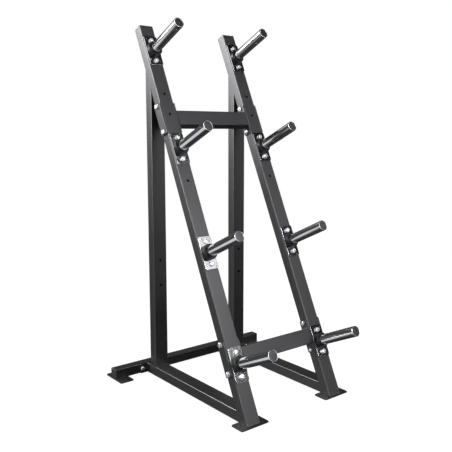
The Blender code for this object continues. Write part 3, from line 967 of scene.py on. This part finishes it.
front_box = ellipse(from_front, 20, 18, 30, 11.5)
front_halo = ellipse(from_front, 22, 22.3, 29, 11.5)
floor_glow = ellipse(from_back, -47, 6.5, -29, 18)
light = (
    # the large softbox, and the wall that it lights
    10.0 * (1.0 - nodes.rise(front_box, 0.79, 0.13))
    + 0.85 * (1.0 - nodes.rise(front_halo, 1.1, 0.4))
    + 0.4 * window(from_front, -5, 43, 24, 39, 3)
    + 1.7 * window(from_front, -20, 41, 40, 66, 4)
    # white boards at the front: left, low and right
    + 2.4 * window(from_front, -110, 10, 15, 38, 8)
    + 1.4 * window(from_front, 8, 42, -6, 13, 6)
    + 1.8 * window(from_front, 60, 104, 4, 31, 5)
    # the ceiling at the back, the side wall at the back left, and the floor's glow below it
    + 0.9 * window(from_back, -34, 6, 22, 44, 2)
    + 1.3 * window(from_back, -125, -60, 2, 42, 12)
    + 0.78 * (1.0 - nodes.rise(floor_glow, 1.2, 0.8))
    # a dim screen at the back right, which the tops of the beams and feet mirror, and a trace
    # of light on the floor and wall behind the rack
    + 0.13 * window(from_back, 22, 54, 5, 32, 4)
    + 0.05 * window(from_back, -60, 60, -75, 22, 8)
    # the sides that the camera doesn't see
    + 0.8 * window(from_front, -120, -12, -42, 8, 10)
    + 0.5 * window(from_back, 66, 108, -45, 30, 12)
    + 0.01)
glow = nodes.add("Emission", Color=(*COOL, 1.0), Strength=light)
cloth.node_tree.links.new(glow.socket, output.inputs["Surface"])

tent_bm = bmesh.new()
bmesh.ops.create_uvsphere(tent_bm, u_segments=64, v_segments=32, radius=TENT)
tent = bpy.data.objects.new("tent", mesh_from("tent", tent_bm))
tent.data.materials.append(cloth)
cloth.cycles.emission_sampling = 'NONE'
bpy.context.scene.collection.objects.link(tent)
for kind in ("camera", "diffuse", "transmission", "volume_scatter", "shadow"):
    setattr(tent, f"visible_{kind}", False)
print("tent:", len(cloth.node_tree.nodes), "nodes")

# %% [markdown]
# The floor is white paper, a hair below the feet. What the camera sees of it is mostly its
# own glow, and two fifths are its shading, which keeps the shadow under the feet. Together
# they come to white, so that the floor meets the white world without a line. Mirrors look
# through the floor at the tent.

# %% Floor
FLOOR_REACH, FLOOR_DROP = 40.0, 0.0005
PAPER_GLOW, GLOW_SHARE = 1.54, 0.60
floor_bm = bmesh.new()
bmesh.ops.create_grid(floor_bm, x_segments=1, y_segments=1, size=FLOOR_REACH)
bmesh.ops.translate(floor_bm, verts=floor_bm.verts, vec=(0, 0, -FLOOR_DROP))
floor = bpy.data.objects.new("floor", mesh_from("floor", floor_bm))
bpy.context.scene.collection.objects.link(floor)
paper, nodes, output = stage_material("floor_paper")
matt = nodes.add("BsdfDiffuse", Color=(0.5, 0.5, 0.5, 1.0))
white = nodes.add("Emission", Color=(1.0, 1.0, 1.0, 1.0), Strength=PAPER_GLOW)
camera_ray = nodes.add("LightPath", output="Is Camera Ray")
shown = nodes.add("MixShader", i0=camera_ray * GLOW_SHARE, i1=matt, i2=white)
paper.node_tree.links.new(shown.socket, output.inputs["Surface"])
floor.data.materials.append(paper)
floor.visible_glossy = False
print("floor:", 2 * FLOOR_REACH, "m across")

# %% [markdown]
# The lamps are real softboxes. The two soft ones light the rack and cast its shadow, and no
# mirror sees them, because the tent already shows it their glow. The two oval ones at the back
# left are for mirrors alone. They stand close, so the pale patch that they leave on the posts'
# left sides slides down each post as the eye moves, which a light on the far tent can't do.
# A mirror sees a lamp's brightness, not its power, and the power of an area lamp is its
# brightness times pi times its area. So an oval is given by its brightness.

# %% Softboxes
AIM = Vector((0.0, 0.0, 1.3))


def softbox(name, place, size, watts, shape='RECTANGLE', roll=0.0, unseen=("camera", "glossy")):
    """An area lamp that faces the rack, turned about its own axis."""
    lamp = bpy.data.lights.new(name, 'AREA')
    lamp.shape, lamp.energy, lamp.color = shape, watts, COOL
    lamp.size, lamp.size_y = size
    obj = bpy.data.objects.new(name, lamp)
    bpy.context.scene.collection.objects.link(obj)
    obj.location = place
    facing = (AIM - obj.location).to_track_quat('-Z', 'Y').to_matrix().to_4x4()
    obj.rotation_euler = (facing @ Matrix.Rotation(math.radians(roll), 4, 'Z')).to_euler()
    for kind in unseen:
        setattr(obj, f"visible_{kind}", False)


def oval(name, place, size, brightness, roll):
    """An oval softbox that only mirrors see, given by its brightness."""
    area = math.pi * size[0] * size[1] / 4
    softbox(name, place, size, brightness * math.pi * area, shape='ELLIPSE', roll=roll,
            unseen=("camera", "diffuse", "transmission", "volume_scatter"))


softbox("front_box", (1.2, -3.0, 2.6), size=(2.0, 1.6), watts=70.0)
softbox("back_box", (-2.4, 2.3, 2.2), size=(2.0, 1.6), watts=70.0)
oval("long_oval", (-4.13, 3.27, 2.53), size=(4.56, 1.56), brightness=38.0, roll=-45.0)
oval("small_oval", (-3.03, 3.98, 2.34), size=(1.5, 0.36), brightness=11.0, roll=-58.0)
print("lamps:", [light.name for light in bpy.data.lights])

# %% [markdown]
# ## Camera
# The camera's place, tilt and lens were fitted to the photograph from the corners of the
# tubes. It stands in front of the rack and to its left, at chest height. It looks a little
# down and is turned to the right, but doesn't roll.

# %% Camera
LENS, SENSOR = 50.473, 36.0
LEFT_OF_RACK, IN_FRONT, EYE_HEIGHT = 1.9458, 1.9245, 1.2572
LOOK_DOWN, TURN_RIGHT = math.radians(8.6087), math.radians(38.5453)
camera_data = bpy.data.cameras.new("camera")
camera_data.lens, camera_data.sensor_width = LENS, SENSOR
camera = bpy.data.objects.new("camera", camera_data)
bpy.context.scene.collection.objects.link(camera)
camera.location = (-LEFT_OF_RACK, POST_FOOT - IN_FRONT, EYE_HEIGHT)
camera.rotation_euler = (math.pi / 2 - LOOK_DOWN, 0.0, -TURN_RIGHT)
bpy.context.scene.camera = camera
bpy.context.scene.view_settings.view_transform = 'Standard'
